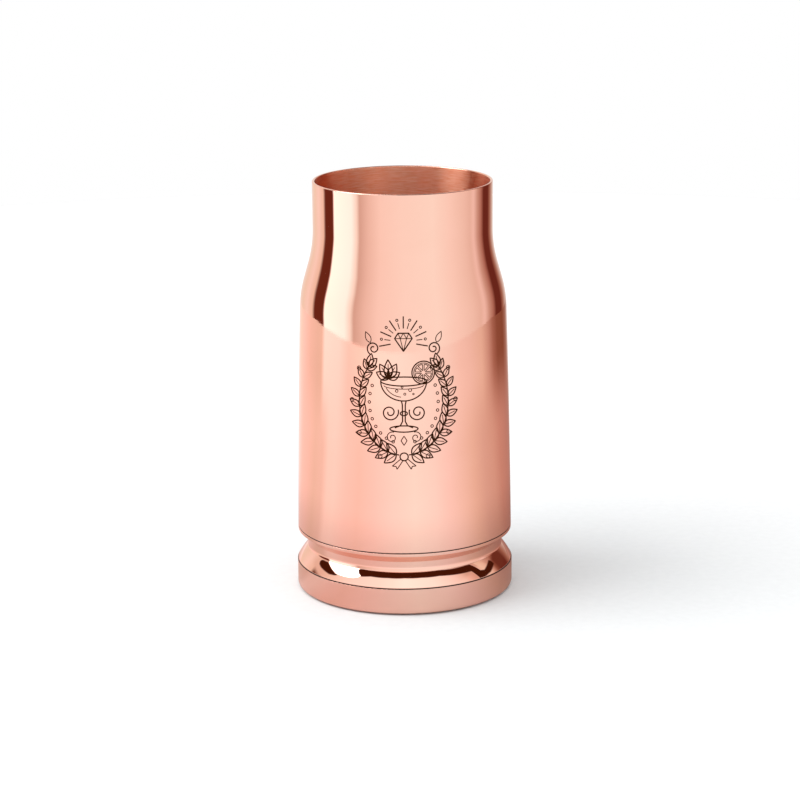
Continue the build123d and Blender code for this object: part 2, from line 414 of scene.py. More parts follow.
# Coupe glass, with its wine line, bubbles and foot.
stroke(oval(0, 4.2, 8.6, 1.7, count=64))
stroke(oval(0, 4.2, 8.6, 7.4, 180, 360, 50))
stroke(oval(0, 2.6, 7.4, 1.3, 180, 360, 40), 0.3)
stroke(oval(0, 4.2, 7.2, 6.0, 205, 262, 20), 0.32)
stroke([(0.9, -3.1), (0.55, -4.6), (0.5, -11.0), (1.3, -12.6), (3.4, -13.5)], mirrored=True)
stroke(oval(0, -13.9, 5.2, 1.2, count=48))
stroke(oval(0, -8.0, 1.3, 0.8, count=20))
for u, v, size in ((-2.6, 0.6, 0.5), (0.4, -0.6, 0.4), (2.4, 0.9, 0.55), (-0.6, 2.0, 0.35), (3.6, -0.6, 0.3)):
    stroke(oval(u, v, size, size, count=14), 0.3)

# Citrus wheel on the rim of the glass, with eight segments, and a mint sprig at the other side.
stroke(oval(*citrus, 4.3, 4.3, count=48))
stroke(oval(*citrus, 3.6, 3.6, count=40), 0.32)
for angle in range(0, 360, 45):
    tip = oval(*citrus, 0.7, 0.7, angle + 22.5, angle + 22.5, 1)
    cell = [tip, oval(*citrus, 3.1, 3.1, angle + 6, angle + 39, 8)]
    stroke(np.concatenate(cell + cell[:1]), 0.32)
for angle, length in ((62, 6.4), (92, 7.2), (122, 6.4), (154, 5.2), (30, 4.8)):
    edge, rib = leaf((-5.6, 5.2), angle, length, 3.2)
    stroke(edge)
    stroke(rib, 0.32)

# Scrolls beside the stem of the glass, and small diamonds between them and the wreath.
stroke(scroll(5.2, -7.6, 3.3, 1.6, 160), mirrored=True)
stroke(scroll(4.4, -17.2, 2.2, -1.4, 110), 0.36, mirrored=True)
stroke([(0, -16.6), (1.1, -18.4), (0, -20.2), (-1.1, -18.4), (0, -16.6)], 0.36)

# Cut gem above, with its facets, and rays that are long and short by turns.
gem_top = [(-3.3, 20.4), (-2.0, 22.4), (2.0, 22.4), (3.3, 20.4)]
stroke(gem_top + [(0, 15.6), (-3.3, 20.4)])
stroke([(-3.3, 20.4), (3.3, 20.4)], 0.3)
stroke([(-2.0, 22.4), (-1.2, 20.4), (0, 15.6)], 0.32, mirrored=True)
stroke([(-1.2, 20.4), (0, 22.4), (1.2, 20.4)], 0.32)
for step in range(13):
    angle = -12 + 17 * step
    stop = 9.4 if step % 2 == 0 else 7.2
    ray = [oval(*gem, r, r, angle, angle, 1)[0] for r in (4.9, stop)]
    stroke(ray, 0.48 if step % 2 == 0 else 0.34)
    if step % 2 == 1:
        tip = oval(*gem, 8.3, 8.3, angle, angle, 1)[0]
        stroke(oval(tip[0], tip[1], 0.42, 0.42, count=12), 0.34)
stroke(scroll(11.4, 16.4, 2.6, 1.5, -60), mirrored=True)
edge, rib = leaf((12.6, 18.6), 64, 4.4, 2.0)
stroke(edge, 0.34, mirrored=True)


def marked_lines(name, lines):
    """Every line as a thin closed strip on the body's skin, in one mesh.

    Each line's points are spread at most 0.5 mm apart and moved half its width to both sides. A point (u, v)
    then goes to the angle u over the body's radius, to the height of the middle plus v, and to the skin's
    radius there, once raised and once sunk by the film. Four rows of corners make the top, both sides and the
    back of the strip.
    """
    spacing = 0.5
    vertices = []
    faces = []
    total = 0
    for points, width in lines:
        lengths = np.hypot(*np.diff(points, axis=0).T)
        travel = np.concatenate([[0.0], np.cumsum(lengths)])
        even = np.linspace(0, travel[-1], int(travel[-1] / spacing) + 2)
        spread = np.unique(np.concatenate([travel, even]))
        spread = spread[np.concatenate([[True], np.diff(spread) > 1e-6])]
        line = np.stack([np.interp(spread, travel, side) for side in points.T], axis=1)
        ahead = np.gradient(line, axis=0)
        if np.allclose(line[0], line[-1]):
            ahead[[0, -1]] = line[1] - line[-2]
        ahead /= np.hypot(*ahead.T)[:, None]
        aside = np.stack([-ahead[:, 1], ahead[:, 0]], axis=1) * width / 2
        corners = np.stack([line - aside, line + aside, line + aside, line - aside], axis=1) * MM
        raised = np.array([-mark_proud, -mark_proud, mark_proud, mark_proud])
        turn = corners[:, :, 0] / mark_radius
        height = mark_middle + corners[:, :, 1]
        reach = np.interp(height, outer[:, 1], outer[:, 0]) + raised
        vertices.append(
            np.stack([reach * np.sin(turn), -reach * np.cos(turn), height], axis=2).reshape(-1, 3)
        )
        count = len(line)
        row = total + 4 * np.arange(count - 1)[:, None]
        here = np.arange(4)[None, :]
        there = (here + 1) % 4
        quads = np.stack([row + here, row + there, row + 4 + there, row + 4 + here], axis=2).reshape(-1, 4)
        end = total + 4 * (count - 1)
        faces += quads.tolist() + [[total + 3, total + 2, total + 1, total], [end, end + 1, end + 2, end + 3]]
        total += 4 * count
    mesh = bpy.data.meshes.new(name)
    mesh.from_pydata(np.concatenate(vertices).tolist(), [], faces)
    mesh.update()
    return placed(name, mesh)


ornament = marked_lines("laser_marked_ornament", strokes)
ornament.data.materials.append(laser_mark)
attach(ornament, "root")

# --------------------------------------------------------------------------------------------------
# Seam gasket. The real piece is a thin ring of black rubber, squeezed between the shell's cut edge and the
# base, which shows as a fine dark line set a little back from the skin.
# --------------------------------------------------------------------------------------------------


def rounded(corners, steps=7):
    """A profile through corners given as (r, z, round). Each round corner is an arc tangent to both sides.

    The arc starts and ends at the round times the tangent of half the turning angle from the corner. A closed
    profile is returned, with straight runs divided so that no cell is longer than 2 mm.
    """
    made = []
    count = len(corners)
    for i in range(count):
        here = np.array(corners[i][:2])
        before = np.array(corners[i - 1][:2]) - here
        after = np.array(corners[(i + 1) % count][:2]) - here
        size = corners[i][2]
        if size == 0:
            made.append(here[None, :])
            continue
        before /= np.linalg.norm(before)
        after /= np.linalg.norm(after)
        half = math.acos(np.clip(before @ after, -1, 1)) / 2
        middle = (before + after) / np.linalg.norm(before + after)
        centre = here + middle * size / math.sin(half)
        start = here + before * size / math.tan(half)
        stop = here + after * size / math.tan(half)
        first = math.atan2(*(start - centre)[::-1])
        turn = (math.atan2(*(stop - centre)[::-1]) - first + math.pi) % (2 * math.pi) - math.pi
        made.append(arc(centre, size, first, first + turn, steps))
    points = np.concatenate(made)
    following = np.roll(points, -1, axis=0)
    parts = np.maximum(1, np.ceil(np.hypot(*(following - points).T) / (2 * MM)).astype(int))
    return np.concatenate([np.linspace(a, b, n, endpoint=False) for a, b, n in zip(points, following, parts)])


# Black rubber: moulded, dull and almost even, with the faint mottle of its filler.
gasket_rubber, tree, shader = new_material("black_rubber")
place = add(tree, "ShaderNodeTexCoord")
mottle = add(
    tree,
    "ShaderNodeTexNoise",
    {"Scale": 900.0, "Detail": 3.0},
    {"Vector": place.outputs["Object"]},
)
surface(tree, shader, mottle, "17110E", "241B17", mottle, 0.3, 0.00005)
shader.inputs["Roughness"].default_value = 0.6

gasket_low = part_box("seam_gasket")[0][2]
gasket_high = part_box("seam_gasket")[1][2]
gasket_squeeze = 0.25 * MM
gasket_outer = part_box("seam_gasket")[1][0] + gasket_squeeze
gasket_inner = body_radius - shell_wall
gasket_edge = 0.08 * MM
gasket = revolve(
    "seam_gasket_ring",
    rounded(
        [
            (gasket_inner, gasket_low, 0),
            (gasket_outer, gasket_low, gasket_edge),
            (gasket_outer, gasket_high, gasket_edge),
            (gasket_inner, gasket_high, 0),
        ]
    ),
)
gasket.data.materials.append(gasket_rubber)
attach(gasket, "root")
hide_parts("seam_gasket")

# --------------------------------------------------------------------------------------------------
# Base head. The real piece is turned from steel bar, with a band, a groove and a rim like a cartridge's
# head, and bored out from below. It is buffed and copper plated with the shell, and one screw holds it up
# to the shell.
# --------------------------------------------------------------------------------------------------

head_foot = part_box("base_head")[0][2]
head_spigot_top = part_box("base_head")[1][2]
rim_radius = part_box("base_head")[1][0]
rim_edge_height = 10.85 * MM
rim_crown = 30.0 * MM
rim_step = 0.25 * MM  # the upper face ends this far inside the rim's side
rim_line = (0.4 * MM, 0.5 * MM)  # width and depth of the fine turned line under the rim's upper face
groove_radius = body_radius - 3.8 * MM
groove_top = gasket_low - 4.2 * MM
groove_low = 16.3 * MM
band_low = gasket_low - 1.1 * MM
plate_seat = head_foot + 1.5 * MM
rim_bore = rim_radius - 2.9 * MM
plate_bore = rim_bore + 1.0 * MM
head_bore = groove_radius - 2.3 * MM
head_bore_top = 9.5 * MM
web_top = gasket_low - 1.0 * MM
web_low = web_top - 2.0 * MM
screw_hole = 3.2 * MM
spigot_radius = body_radius - shell_wall - 0.15 * MM
crown_chord = np.array([rim_radius - rim_step - groove_radius, rim_edge_height - groove_low])
crown_half = math.asin(np.linalg.norm(crown_chord) / 2 / rim_crown)
crown_lean = math.atan2(crown_chord[0], -crown_chord[1])
crown_centre = (
    groove_radius - rim_crown * math.cos(crown_lean + crown_half),
    groove_low - rim_crown * math.sin(crown_lean + crown_half),
)
crown = arc(crown_centre, rim_crown, crown_lean - crown_half, crown_lean + crown_half, 40)[1:-1]
head_profile = rounded(
    [
        (screw_hole, web_low, 0),
        (head_bore, web_low, 0),
        (head_bore, head_bore_top, 0),
        (rim_bore, head_bore_top, 0),
        (rim_bore, plate_seat, 0),
        (plate_bore, plate_seat, 0),
        (plate_bore, head_foot, 0.1 * MM),
        (rim_radius, head_foot, 1.2 * MM),
        (rim_radius, rim_edge_height - rim_line[0], 0.05 * MM),
        (rim_radius - rim_line[1], rim_edge_height - rim_line[0], 0),
        (rim_radius - rim_line[1], rim_edge_height, 0),
        (rim_radius - rim_step, rim_edge_height, 0),
    ]
    + [(r, z, 0) for r, z in crown]
    + [
        (groove_radius, groove_low, 0),
        (groove_radius, groove_top, 0.2 * MM),
        (body_radius, band_low, 0.2 * MM),
        (body_radius, gasket_low, 0.08 * MM),
        (spigot_radius, gasket_low, 0),
        (spigot_radius, head_spigot_top, 0.1 * MM),
        (spigot_radius - 1.6 * MM, head_spigot_top, 0.1 * MM),
        (spigot_radius - 1.6 * MM, web_top, 0),
        (screw_hole, web_top, 0),
    ],
    steps=14,
)
# Painted shade: the fine line under the rim's upper face gets a dark, matt material that stands in for the
# shadow in that narrow groove, so it shows as a dark line.
rim_line_shade, tree, shader = new_material("painted_shade_rim_line")
place = add(tree, "ShaderNodeTexCoord")
shade_mottle = add(tree, "ShaderNodeTexNoise", {"Scale": 1200.0, "Detail": 3.0}, {"Vector": place.outputs["Object"]})
surface(tree, shader, shade_mottle, "1C0F09", "3A2218")
shader.inputs["Roughness"].default_value = 0.8

head = revolve("copper_base_head", head_profile)
head.data.materials.append(polished_copper)
head.data.materials.append(rim_line_shade)
line_low = rim_edge_height - rim_line[0]
cell_middle = (head_profile + np.roll(head_profile, -1, axis=0)) / 2
in_line = (
    (cell_middle[:, 1] >= line_low - 1e-6)
    & (cell_middle[:, 1] <= rim_edge_height + 1e-6)
    & (cell_middle[:, 0] > rim_radius - rim_line[1] - 1e-6)
)
head.data.polygons.foreach_set("material_index", np.repeat(in_line.astype(np.int32), turns))
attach(head, "root")
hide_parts("base_head")

# --------------------------------------------------------------------------------------------------
# Cup floor. The real piece is a pressed dish, brazed inside the shell by its skirt and brushed with it, so
# from above it closes the cup with a soft corner and a flat, spun-looking bottom.
# --------------------------------------------------------------------------------------------------

dish_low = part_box("cup_floor")[0][2]
dish_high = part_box("cup_floor")[1][2]
dish_wall = 1.0 * MM
dish_round = 3.0 * MM
wall_run = shell_skin(shell_wall + 0.05 * MM)
dish_top_outer = np.interp(dish_high, wall_run[:, 1], wall_run[:, 0])
dish_low_outer = np.interp(dish_low, wall_run[:, 1], wall_run[:, 0])
dish_profile = rounded(
    [
        (0.0, dish_low, 0),
        (dish_low_outer, dish_low, dish_round + dish_wall),
        (dish_top_outer, dish_high, 0.1 * MM),
        (dish_top_outer - dish_wall, dish_high, 0.1 * MM),
        (dish_low_outer - dish_wall, dish_low + dish_wall, dish_round),
        (0.0, dish_low + dish_wall, 0),
    ],
    steps=12,
)
dish = revolve("cup_floor_dish", dish_profile, closed=False)
dish.data.materials.append(brushed_copper)
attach(dish, "root")
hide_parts("cup_floor")

# --------------------------------------------------------------------------------------------------
# Bottom plate. The real piece is a copper-plated steel disc, pressed into the rim, with a turned bed for
# the foot ring and a hole for the cap. Its face keeps the fine spiral of the lathe tool.
# --------------------------------------------------------------------------------------------------

plate_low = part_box("bottom_plate")[0][2]
plate_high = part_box("bottom_plate")[1][2]
plate_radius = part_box("bottom_plate")[1][0]
cap_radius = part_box("primer_cap")[1][0]
ring_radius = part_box("foot_ring")[1][0]
ring_width = 6.0 * MM
bed_gap = 0.1 * MM
bed_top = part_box("foot_ring")[1][2]
plate = revolve(
    "spun_bottom_plate",
    rounded(
        [
            (cap_radius, plate_low, 0.15 * MM),
            (ring_radius - ring_width - bed_gap, plate_low, 0.1 * MM),
            (ring_radius - ring_width - bed_gap, bed_top, 0),
            (ring_radius + bed_gap, bed_top, 0),
            (ring_radius + bed_gap, plate_low, 0.1 * MM),
            (plate_radius, plate_low, 0.2 * MM),
            (plate_radius, plate_high, 0),
            (cap_radius, plate_high, 0),
        ]
    ),
)
plate.data.materials.append(brushed_copper)
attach(plate, "root")
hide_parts("bottom_plate")

# --------------------------------------------------------------------------------------------------
# Primer cap. The real piece is a shallow cup drawn from sheet, polished and plated, pressed into the
# plate's hole over the screw. Its face is slightly dished, as a cartridge's primer is.
# --------------------------------------------------------------------------------------------------

cap_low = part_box("primer_cap")[0][2]
cap_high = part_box("primer_cap")[1][2]
cap_face = 1.2 * MM
cap_skirt = 0.9 * MM
cap_dish = 0.25 * MM
cap_dish_radius = 6.5 * MM
dish_radii = np.linspace(0, cap_dish_radius, 16)
dished = cap_low + cap_dish * (0.5 + 0.5 * np.cos(math.pi * dish_radii / cap_dish_radius))
cap_corners = (
    [(r, z, 0) for r, z in zip(dish_radii, dished)]
    + [
        (cap_radius, cap_low, 0.5 * MM),
        (cap_radius, cap_high, 0.1 * MM),
        (cap_radius - cap_skirt, cap_high, 0.1 * MM),
        (cap_radius - cap_skirt, cap_low + cap_face, 0.3 * MM),
        (0.0, cap_low + cap_face, 0),
    ]
)
cap = revolve("polished_primer_cap", rounded(cap_corners), closed=False)
cap.data.materials.append(polished_copper)
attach(cap, "root")
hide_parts("primer_cap")

# --------------------------------------------------------------------------------------------------
# Foot ring. The real piece is a moulded silicone ring, pressed into the plate's bed. Its lower face has two
# fine grooves for grip, and its edges are soft from the mould.
# --------------------------------------------------------------------------------------------------

# Black silicone: moulded against a sparked tool, so it is matt with a fine grain and picks up pale dust.
foot_silicone, tree, shader = new_material("black_silicone")
place = add(tree, "ShaderNodeTexCoord")
spark_grain = add(
    tree, "ShaderNodeTexNoise", {"Scale": 2500.0, "Detail": 2.0}, {"Vector": place.outputs["Object"]}
)
dust = add(tree, "ShaderNodeTexNoise", {"Scale": 120.0, "Detail": 5.0}, {"Vector": place.outputs["Object"]})
surface(tree, shader, dust, "1B1B1C", "2B2B2C", spark_grain, 0.4, 0.00004, span=(0.35, 0.75))
shader.inputs["Roughness"].default_value = 0.62

ring_inner = ring_radius - ring_width
grip_depth = 0.25 * MM
grip_width = 0.6 * MM
grip_corners = []
for share in (1 / 3, 2 / 3):
    middle = ring_inner + share * ring_width
    grip_corners += [
        (middle - grip_width / 2, 0.0, 0.05 * MM),
        (middle - grip_width / 4, grip_depth, 0.05 * MM),
        (middle + grip_width / 4, grip_depth, 0.05 * MM),
        (middle + grip_width / 2, 0.0, 0.05 * MM),
    ]
foot = revolve(
    "silicone_foot_ring",
    rounded(
        [(ring_inner, 0.0, 0.25 * MM)]
        + grip_corners
        + [(ring_radius, 0.0, 0.25 * MM), (ring_radius, bed_top, 0), (ring_inner, bed_top, 0)],
        steps=5,
    ),
)
foot.data.materials.append(foot_silicone)
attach(foot, "root")
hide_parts("foot_ring")

# --------------------------------------------------------------------------------------------------
# Hidden clamping parts. The boss under the cup floor, the washer and the screw keep the frame's shapes.
# They are plain stainless steel as the lathe left it, and none of them shows on the closed cup.
# --------------------------------------------------------------------------------------------------

# Turned stainless steel: unplated, with tool lines about 0.15 mm apart round the axis and a slightly grey,
# dull shine between them.
turned_steel, tree, shader = new_material("turned_stainless_steel")
shader.inputs["Metallic"].default_value = 1.0
place = add(tree, "ShaderNodeTexCoord")
tool_map = add(
    tree, "ShaderNodeMapping", {"Scale": (80.0, 80.0, 6500.0)}, {"Vector": place.outputs["Object"]}
)
tool_lines = add(
    tree, "ShaderNodeTexNoise", {"Scale": 1.0, "Detail": 3.0}, {"Vector": tool_map.outputs["Vector"]}
)
surface(tree, shader, tool_lines, "B9B8B6", "CFCECB", tool_lines, 0.3, 0.00004)
tool_roughness = add(
    tree, "ShaderNodeMapRange", {"To Min": 0.24, "To Max": 0.4}, {"Value": tool_lines.outputs["Fac"]}
)
tree.links.new(tool_roughness.outputs["Result"], shader.inputs["Roughness"])

for hidden in ("floor_boss", "clamp_washer", "clamp_screw"):
    for material_slot in frame["nodes"][hidden].material_slots:
        material_slot.material = turned_steel

# --------------------------------------------------------------------------------------------------
# Table, light and camera: a pale table, one large softbox overhead at the left, a studio of walls, cards and
# cloths that only the copper mirrors, and a camera looking down a little on the cup.
# --------------------------------------------------------------------------------------------------

scene = bpy.context.scene
scene.view_settings.view_transform = "Standard"
scene.view_settings.look = "None"

# Table top: matt white laminate, which the camera sees. The copper mirrors a second round sheet just above
# it, which only the copper sees: its colour is painted reflection, toned by heading and by distance as if
# cards lay round the cup, so that its sides have edges against the pale table.
table_paint, tree, shader = new_material("matt_white_laminate")
place = add(tree, "ShaderNodeTexCoord")
speckle = add(
    tree, "ShaderNodeTexNoise", {"Scale": 300.0, "Detail": 2.0}, {"Vector": place.outputs["Object"]}
)
speckle_tone = add(tree, "ShaderNodeValToRGB", None, {"Fac": speckle.outputs["Fac"]})
ramp_stops(speckle_tone, [(0.3, linear("F3F3F3")), (0.7, linear("F6F6F6"))])
# Painted shade: the laminate is darkened and cooled towards the cup, from full white at 0.45 m out to 0.855,
# 0.895, 0.91 at 0.04 m. This stands in for the floor's shading near the cup, and the cool tint offsets the
# pink light the copper throws on it.
reach = add(tree, "ShaderNodeVectorMath", {"operation": "LENGTH"}, {0: place.outputs["Object"]})
near_cup_shade_share = add(
    tree, "ShaderNodeMapRange", {"From Min": 0.04, "From Max": 0.45}, {"Value": reach.outputs["Value"]}
)
near_cup_shade_tone = add(tree, "ShaderNodeValToRGB", None, {"Fac": near_cup_shade_share.outputs["Result"]})
ramp_stops(near_cup_shade_tone, [(0.0, (0.855, 0.895, 0.91, 1.0)), (1.0, (1.0, 1.0, 1.0, 1.0))])
laminate_and_shade_tone = add(
    tree,
    "ShaderNodeVectorMath",
    {"operation": "MULTIPLY"},
    {0: speckle_tone.outputs["Color"], 1: near_cup_shade_tone.outputs["Color"]},
)
tree.links.new(laminate_and_shade_tone.outputs["Vector"], shader.inputs["Base Color"])
shader.inputs["Roughness"].default_value = 0.5
shader.inputs["Specular IOR Level"].default_value = 0.1


def heading_of(tree, direction):
    """A direction's parts, and its heading from 0 to 1 over -180 to 180 degrees.

    The heading is the arctangent of x over minus y: 0 faces the camera and 90 is right.
    """
    axes = add(tree, "ShaderNodeSeparateXYZ", None, {"Vector": direction})
    towards = add(tree, "ShaderNodeMath", {"operation": "MULTIPLY", 1: -1.0}, {0: axes.outputs["Y"]})
    angle = add(
        tree, "ShaderNodeMath", {"operation": "ARCTAN2"}, {0: axes.outputs["X"], 1: towards.outputs["Value"]}
    )
    spread = add(
        tree,
        "ShaderNodeMapRange",
        {"From Min": -math.pi, "From Max": math.pi},
        {"Value": angle.outputs["Value"]},
    )
    return axes, spread


def toned_by_heading(tree, spread, stops, light=1.0):
    """A colour ramp from stops of heading in degrees and a tone, which is divided by the light on it."""
    ramp = add(tree, "ShaderNodeValToRGB", None, {"Fac": spread.outputs["Result"]})
    shares = [((angle + 180) / 360, [part / light for part in tone] + [1.0]) for angle, tone in stops]
    ramp_stops(ramp, shares)
    return ramp


near_stops = [
    (-180, (0.90, 0.80, 0.75)), (-165, (1.00, 0.90, 0.88)), (-150, (1.04, 0.86, 0.84)),
    (-135, (1.04, 0.75, 0.70)), (-120, (0.99, 0.73, 0.69)), (-105, (0.88, 0.69, 0.62)),
    (-92, (0.91, 0.72, 0.68)), (-84, (1.04, 0.88, 0.87)), (-75, (1.04, 0.90, 0.90)),
    (-60, (1.03, 0.81, 0.80)), (-46, (1.01, 0.77, 0.74)), (-30, (1.06, 0.84, 0.84)),
    (-12, (1.08, 0.95, 0.96)), (10, (1.09, 1.06, 1.06)), (30, (1.08, 0.99, 1.00)), (45, (1.05, 0.89, 0.90)),
    (60, (0.98, 0.79, 0.75)), (75, (0.90, 0.68, 0.60)), (90, (0.80, 0.56, 0.50)), (105, (0.75, 0.49, 0.42)),
    (120, (0.65, 0.36, 0.30)), (138, (0.55, 0.28, 0.23)), (152, (0.48, 0.26, 0.22)),
    (165, (0.70, 0.55, 0.50)), (180, (0.90, 0.80, 0.75)),
]
far_stops = [
    (-180, (0.90, 0.80, 0.75)), (-165, (1.00, 0.90, 0.88)), (-150, (1.04, 0.82, 0.72)),
    (-135, (1.05, 0.76, 0.72)), (-120, (0.89, 0.66, 0.60)), (-105, (0.79, 0.61, 0.54)),
    (-98, (0.80, 0.62, 0.54)), (-93, (1.06, 0.95, 0.95)), (-72, (1.06, 0.90, 0.91)),
    (-60, (1.04, 0.76, 0.74)), (-46, (1.03, 0.84, 0.80)), (-28, (1.08, 1.00, 0.98)),
    (-8, (1.10, 1.06, 1.06)), (28, (1.09, 1.04, 1.04)), (48, (1.07, 0.97, 0.96)), (62, (1.05, 0.86, 0.83)),
    (75, (1.00, 0.79, 0.75)), (92, (0.92, 0.69, 0.60)), (104, (0.68, 0.42, 0.36)),
    (113, (0.44, 0.20, 0.15)), (122, (0.30, 0.11, 0.07)), (138, (0.27, 0.09, 0.05)),
    (150, (0.40, 0.20, 0.15)), (165, (0.80, 0.70, 0.68)), (180, (0.90, 0.80, 0.75)),
]
table_light = 1.31  # how brightly the open table is lit, as a share of its own white
# Painted reflection: the tones below are what the copper should mirror round it, divided by the light on the
# sheet.
reflection_sheet_paint, tree, shader = new_material("painted_reflection_sheet")
place = add(tree, "ShaderNodeTexCoord")
spread = heading_of(tree, place.outputs["Object"])[1]
near_tone = toned_by_heading(tree, spread, near_stops, table_light)
far_tone = toned_by_heading(tree, spread, far_stops, table_light)
distance = add(tree, "ShaderNodeVectorMath", {"operation": "LENGTH"}, {0: place.outputs["Object"]})
far_share = add(
    tree,
    "ShaderNodeMapRange",
    {"From Min": 0.28, "From Max": 0.48, "interpolation_type": "SMOOTHSTEP"},
    {"Value": distance.outputs["Value"]},
)
table_tone = add(
    tree,
    "ShaderNodeMix",
    {"data_type": "RGBA"},
    {0: far_share.outputs["Result"], 6: near_tone.outputs["Color"], 7: far_tone.outputs["Color"]},
)
# Painted shade: the sheet darkens to 0.76 of its tone within 0.09 m of the axis, easing out to 0.19 m, as the
# shade round the foot that the copper mirrors.
foot_shade = add(
    tree,
    "ShaderNodeMapRange",
    {"From Min": 0.09, "From Max": 0.19, "To Min": 0.76, "To Max": 1.0, "interpolation_type": "SMOOTHSTEP"},
    {"Value": distance.outputs["Value"]},
)
shaded = add(
    tree,
    "ShaderNodeVectorMath",
    {"operation": "SCALE"},
    {0: table_tone.outputs[2], "Scale": foot_shade.outputs["Result"]},
)
tree.links.new(shaded.outputs["Vector"], shader.inputs["Base Color"])
shader.inputs["Roughness"].default_value = 0.8
shader.inputs["Specular IOR Level"].default_value = 0.0


def round_sheet(name, radius, height, material):
    """A flat disc centred under the cup: corners at the radius times the cosine and sine of even angles."""
    sides = 96
    angles = np.arange(sides) * (2 * math.pi / sides)
    corners = np.stack([radius * np.cos(angles), radius * np.sin(angles), np.full(sides, height)], axis=1)
    mesh = bpy.data.meshes.new(name)
    mesh.from_pydata(corners.tolist(), [], [list(range(sides))])
    mesh.materials.append(material)
    sheet = placed(name, mesh)
    return sheet


table_radius = 0.9
toned_radius = 0.62
toned_lift = 0.00002  # of the toned sheet above the table top
table = round_sheet("table_top", table_radius, 0.0, table_paint)
table.visible_glossy = False
toned_table = round_sheet("toned_table_top", toned_radius, toned_lift, reflection_sheet_paint)
toned_table.visible_camera = False
toned_table.visible_diffuse = False
toned_table.visible_shadow = False


def softbox(name, place, target, width, height, power):
    """An area light at a place, facing a target, with its width level."""
    data = bpy.data.lights.new(name, "AREA")
    data.shape = "RECTANGLE"
    data.size = width
    data.size_y = height
    data.energy = power
    light = bpy.data.objects.new(name, data)
    scene.collection.objects.link(light)
    ahead = np.array(target, dtype=float) - np.array(place, dtype=float)
    light.location = place
    light.rotation_euler = (
        math.atan2(math.hypot(ahead[0], ahead[1]), -ahead[2]),
        0.0,
        math.atan2(ahead[1], ahead[0]) - math.pi / 2,
    )
    light.visible_camera = False
    light.visible_glossy = False


softbox("overhead_softbox", (-1.12, -0.26, 1.35), (0.05, 0.0, 0.0), 1.3, 1.3, 19.0)

# Studio, mirrored by the copper: three bands of walls one above the other, each toned by heading, with a
# white card hung high at the left, a black cloth over the camera and at both sides, and a black ceiling
# behind the cup. Their edges are elevations in degrees by heading. Round the lowest band go a pale front, a
# white strip at the left with a black card behind it, a pale back and a black card at the right rear. The
# camera itself sees plain white.
dark = (0.15, 0.03, 0.016)
wall_stops = [
    (-180, (0.90, 0.82, 0.78)), (-148, (0.95, 0.80, 0.68)), (-134, (1.04, 0.88, 0.84)),
    (-121, (0.95, 0.76, 0.66)), (-116, dark), (-99, dark), (-97, (1.70, 1.62, 1.62)),
    (-68, (1.55, 1.45, 1.50)), (-60, (1.03, 1.02, 1.00)), (-56, (0.74, 0.55, 0.50)),
    (-44, (0.92, 0.74, 0.70)), (-28, (1.05, 0.92, 0.90)), (0, (1.06, 1.00, 0.99)), (38, (1.06, 1.05, 1.04)),
    (62, (1.03, 0.92, 0.90)), (84, (0.94, 0.79, 0.75)), (95, (0.87, 0.69, 0.64)), (102, (0.95, 0.76, 0.74)),
    (110, (0.66, 0.44, 0.38)), (119, (0.44, 0.20, 0.16)), (125, (0.15, 0.03, 0.02)),
    (139, (0.15, 0.03, 0.02)), (147, (0.38, 0.17, 0.12)), (165, (0.80, 0.70, 0.65)),
    (180, (0.90, 0.82, 0.78)),
]
middle_stops = [
    (-180, (0.88, 0.78, 0.74)), (-150, (0.93, 0.78, 0.67)), (-134, (1.00, 0.84, 0.79)),
    (-124, (0.88, 0.68, 0.60)), (-108, (0.88, 0.66, 0.58)), (-98, (0.95, 0.75, 0.66)),
    (-86, (1.05, 0.90, 0.84)), (-74, (1.08, 1.00, 0.98)), (-64, (1.15, 1.08, 1.08)),
    (0, (1.35, 1.30, 1.30)), (52, (1.12, 1.10, 1.08)), (67, (1.04, 0.93, 0.89)), (74, (1.00, 0.85, 0.80)),
    (80, (0.95, 0.67, 0.60)), (89, (0.75, 0.47, 0.40)), (101, (0.90, 0.70, 0.60)),
    (105, (0.95, 0.80, 0.68)), (111, (0.85, 0.65, 0.55)), (115, (0.62, 0.38, 0.31)),
    (119, (0.30, 0.11, 0.07)), (124, (0.16, 0.04, 0.025)), (139, (0.16, 0.04, 0.025)),
    (147, (0.38, 0.17, 0.12)), (165, (0.72, 0.60, 0.55)), (180, (0.88, 0.78, 0.74)),
]
upper_stops = [
    (-180, (0.80, 0.66, 0.60)), (-126, (0.90, 0.72, 0.66)), (-62, (1.15, 1.05, 1.05)),
    (-36, (1.20, 1.14, 1.14)), (0, (1.38, 1.32, 1.32)), (36, (1.25, 1.20, 1.20)), (56, (1.12, 1.02, 1.00)),
    (66, (1.05, 0.90, 0.88)), (74, (0.95, 0.74, 0.68)), (82, (0.74, 0.52, 0.45)), (102, (0.72, 0.50, 0.43)),
    (104, (0.90, 0.75, 0.65)), (111, (0.80, 0.60, 0.50)), (117, (0.62, 0.39, 0.33)),
    (124, (0.42, 0.20, 0.15)), (139, (0.38, 0.17, 0.12)), (160, (0.50, 0.32, 0.27)),
    (180, (0.80, 0.66, 0.60)),
]
no_edge = 100  # an edge above the zenith, where a card isn't
wall_softness = 3.0  # of each edge, in degrees
white_softness = 0.6
ceiling_softness = 1.0
cloth_softness = 0.8
middle_edge = [
    (-180, 17), (-90, 17.5), (-50, 22), (0, 23), (100, 23), (118, 8), (150, 8), (175, 17), (180, 17),
]
upper_edge = [(-180, 34.5), (110, 34.5), (118, 24), (150, 24), (175, 34.5), (180, 34.5)]
white_card_edge = [
    (-115, no_edge), (-113, 33.3), (-91, 33.3), (-79, 36.5), (-69, 40), (-62, 45.5), (-60, no_edge),
]
